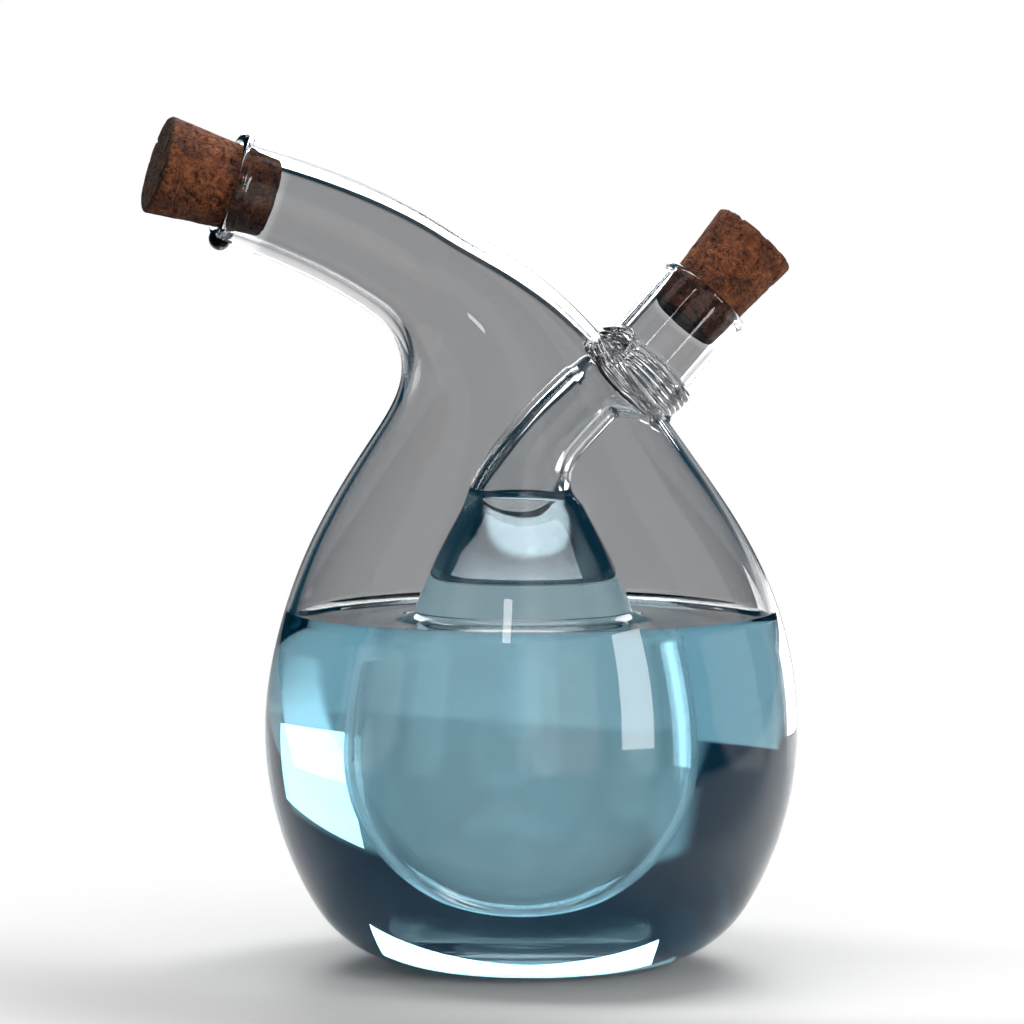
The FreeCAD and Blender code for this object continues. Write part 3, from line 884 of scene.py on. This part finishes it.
# Painted light: a glow for the light that the full belly gathers under the foot, and a painted
# strip of light on the table, placed as if from the lamp at the right rear
PAINTED_FOOT_GLOW, FOOT_SPOT, PAINTED_LIGHT_STRIP = (4.7, 3.0, 2.7), (0.002, 0.029, 0.0), (2.4, 2.4, 2.4)


def rays(tree):
    """1 for a ray from the camera, from a mirror alone and through glass.

    A ray that left a dull surface, such as the cork, is none of these and finds plain light.
    """
    ray = tree.nodes.new("ShaderNodeLightPath")
    camera_ray, glossy, bent = [Field(tree, ray.outputs[name]) for name in
                                ("Is Camera Ray", "Is Glossy Ray", "Is Transmission Ray")]
    seen = 1.0 - Field(tree, ray.outputs["Diffuse Depth"]).smaller(1.0)
    return camera_ray, glossy * (1.0 - bent) * seen, bent * seen


def sweep(x, y, edges, soft):
    """1 between two edges, 0 on the dark room at either side of them."""
    left, right = edges
    return (y * right - x).ramp(0.0, soft) * (x + y * left).ramp(0.0, soft)


def side_windows(x, y):
    """1 on three narrower white walls, at the right, at the left and in front of the cruet."""
    right, left = sweep(y, x, WALL_EDGES, 0.05), sweep(y, x * -1.0, WALL_EDGES, 0.05)
    return (right + left + sweep(x, y * -1.0, WALL_EDGES, 0.05)).smaller(1.0)


# %% [markdown]
# ## Floor
# The cruet stands on a pale table whose far end meets the white sweep, and its shadow falls there.
# The full belly works as a lens: it turns the table upside down, and gathers light in a bright
# spot under the foot. A renderer doesn't gather that light by itself, so the spot is painted on the
# table as a glow, with painted shade around it, and a strip of painted light lies further out.
# What each ray sees is chosen by the kind of ray that asks.

# %% Floor

FLOOR = bpy.data.materials.new("floor")
tree, shader, place = start_material(FLOOR)
far = place.length()
x, y, _ = place.parts()
# The table is pale from a line just in front of the cruet backwards, square to the camera's way
away = x * 0.225 + y * 0.974
pale = away.ramp(-0.10, -0.06) * sweep(x, y + 0.25, WIDE, 0.1)
plug(tree, shader.inputs["Base Color"], pale.between((0.04, 0.04, 0.04), (0.60, 0.60, 0.60)))
shader.inputs["Roughness"].default_value = 0.6
shader.inputs["Specular IOR Level"].default_value = 0.2
camera_ray, mirrored, bent = rays(tree)
glow = tree.nodes.new("ShaderNodeEmission")
glow.inputs["Strength"].default_value = 1.0
mix = tree.nodes.new("ShaderNodeMixShader")
beyond = (x + y * 0.10).ramp(0.0, 0.04).between(DARK, BACKDROP)
table = (y + x * 0.94).ramp(TABLE_EDGE, TABLE_EDGE + 0.03).between(WHITE, beyond)
table = sweep(x, y + 0.1, WIDE, 0.1).between(DARK, table)
# Painted light: a bright strip on the table, seen through the glass only
painted_strip = sweep(x, y, PAINTED_STRIP_EDGES, 0.02) * far.ramp(0.15, 0.36)
table = painted_strip.between(table, PAINTED_LIGHT_STRIP)
table = (side_windows(x, y) * far.ramp(0.20, 0.26)).between(table, BACKDROP)
# Painted light and shade under the foot, seen through the glass only: a glowing spot for the
# gathered light, and painted dark around it
painted_focus = 1.0 - (place - FOOT_SPOT).length().ramp(0.015, 0.020)
painted_foot_light_and_shade = painted_focus.between(DARK, PAINTED_FOOT_GLOW)
seen = bent.between(WHITE, far.ramp(0.050, 0.085).between(painted_foot_light_and_shade, table))
plug(tree, glow.inputs["Color"], seen)
plug(tree, mix.inputs[0], camera_ray * far.ramp(0.045, 0.15) + bent
     + mirrored * sweep(x, y, NARROW, 0.03) * far.ramp(0.10, 0.34))
tree.links.new(shader.outputs[0], mix.inputs[1])
tree.links.new(glow.outputs[0], mix.inputs[2])
tree.links.new(mix.outputs[0], output_of(tree).inputs["Surface"])
HALF = 6.0
corners = [(-HALF, -HALF, 0), (HALF, -HALF, 0), (HALF, HALF, 0), (-HALF, HALF, 0)]
floor = object_from("floor", corners, [(0, 1, 2, 3)])
floor.location.z = -0.0002
floor.data.materials.append(FLOOR)

# %% [markdown]
# ## World
# The world is the room beyond the table. The camera sees white, while the glass mirrors and bends a
# white sweep of limited width, with dark at its sides. The dark draws the outlines that make
# clear glass readable on white.

# %% World

world = bpy.data.worlds.new("room")
bpy.context.scene.world = world
world.use_nodes = True
tree = world.node_tree
tree.nodes.clear()
place = Field(tree, tree.nodes.new("ShaderNodeTexCoord").outputs["Generated"])
x, y, z = place.parts()
camera_ray, mirrored, bent = rays(tree)
wall = 1.0 - z.ramp(0.10, 0.13)
through = (x / y).ramp(-0.14, -0.06) * sweep(x, y, WIDE, 0.1) * wall
through = (through + side_windows(x, y)).smaller(1.0)
behind = (bent * through).between(DARK, BACKDROP)
behind = (mirrored * sweep(x, y, NARROW, 0.03) * wall).between(behind, WHITE)
room = (mirrored + bent).smaller(1.0).between(PLAIN, behind)
background = tree.nodes.new("ShaderNodeBackground")
plug(tree, background.inputs["Color"], camera_ray.between(room, WHITE))
out = tree.nodes.new("ShaderNodeOutputWorld")
tree.links.new(background.outputs[0], out.inputs["Surface"])

# %% [markdown]
# ## Soft lamps
# A lamp's brightness is given as how white it looks, where 1 is the background. Glass mirrors only
# a few hundredths of what stands before it, so a lamp must be many times white to draw a
# bright streak. A low one at the right rear shines through the left of the belly, which works as
# a lens, and the strip at the right draws the long streak on the inner flask.

# %% Lamps


def lamp(name, location, target, width, height, brightness, through=True, shines=True):
    """A rectangular lamp, as bright as the number times the white of the background.

    One that isn't seen through the glass is still mirrored in its surface. One that doesn't
    shine is a glowing card, which lights neither cork nor floor.
    """
    data = bpy.data.lights.new(name, "AREA")
    data.shape, data.size, data.size_y = "RECTANGLE", width, height
    data.energy = brightness * math.pi * width * height
    obj = bpy.data.objects.new(name, data)
    bpy.context.scene.collection.objects.link(obj)
    obj.location = location
    way = Vector(target) - Vector(location)
    obj.rotation_mode = "QUATERNION"
    obj.rotation_quaternion = way.to_track_quat("-Z", "Y")
    obj.visible_camera = False
    obj.visible_transmission = through
    obj.visible_diffuse = shines
    print(f"{name}: {data.energy:.2f} W")


MIDDLE = (0.0, 0.0, 0.09)
RIGHT, RIGHT_TARGET = (0.31, -0.51, 0.165), (0.0, 0.0, 0.165)
lamp("top_strip", (0.36, 0.30, 0.74), MIDDLE, 0.26, 0.50, 8.0, through=False)
lamp("overhead", (-0.16, 0.05, 0.80), MIDDLE, 0.12, 0.60, 12.0, through=False)
lamp("right_mirror", RIGHT, RIGHT_TARGET, 0.15, 0.38, 9.0, through=False)
lamp("right_strip", RIGHT, RIGHT_TARGET, 0.15, 0.38, 5.0)
lamp("left_key", (-0.298, -0.64, 0.49), MIDDLE, 0.05, 0.16, 10.0, through=False)
lamp("rim_right", (0.275, 0.302, 0.036), (-0.042, 0.0, 0.036), 0.17, 0.07, 4.0, shines=False)
lamp("back_high", (0.21, 0.69, 0.38), MIDDLE, 0.62, 0.22, 9.0, shines=False)
lamp("behind", (0.05, 0.72, 0.62), MIDDLE, 0.52, 0.22, 1.3, shines=False)

# %% [markdown]
# ## Camera
# The camera stands a little to the left of the cruet's front and just above it, a metre away, with
# a long lens, so that the belly and both mouths keep their true proportions.

# %% Camera

AZIMUTH, ELEVATION, DISTANCE = math.radians(-13.0), math.radians(4.0), 1.05
TARGET = Vector((-0.002173, 0.006551, 0.084291))
back = Vector((math.sin(AZIMUTH) * math.cos(ELEVATION), -math.cos(AZIMUTH) * math.cos(ELEVATION),
               math.sin(ELEVATION)))
camera_data = bpy.data.cameras.new("camera")
camera_data.sensor_width = 36.0
camera_data.lens = 195.6
camera_data.clip_start, camera_data.clip_end = 0.05, 50.0
camera = bpy.data.objects.new("camera", camera_data)
bpy.context.scene.collection.objects.link(camera)
camera.location = TARGET + back * DISTANCE
camera.rotation_mode = "QUATERNION"
camera.rotation_quaternion = (-back).to_track_quat("-Z", "Y")
bpy.context.scene.camera = camera

scene = bpy.context.scene
scene.view_settings.view_transform = "Standard"
# Light crosses many walls here, so it may bend more often than a renderer allows by itself
scene.cycles.max_bounces = 40
scene.cycles.transmission_bounces = 36
scene.cycles.glossy_bounces = 12
scene.cycles.diffuse_bounces = 3
scene.cycles.transparent_max_bounces = 12
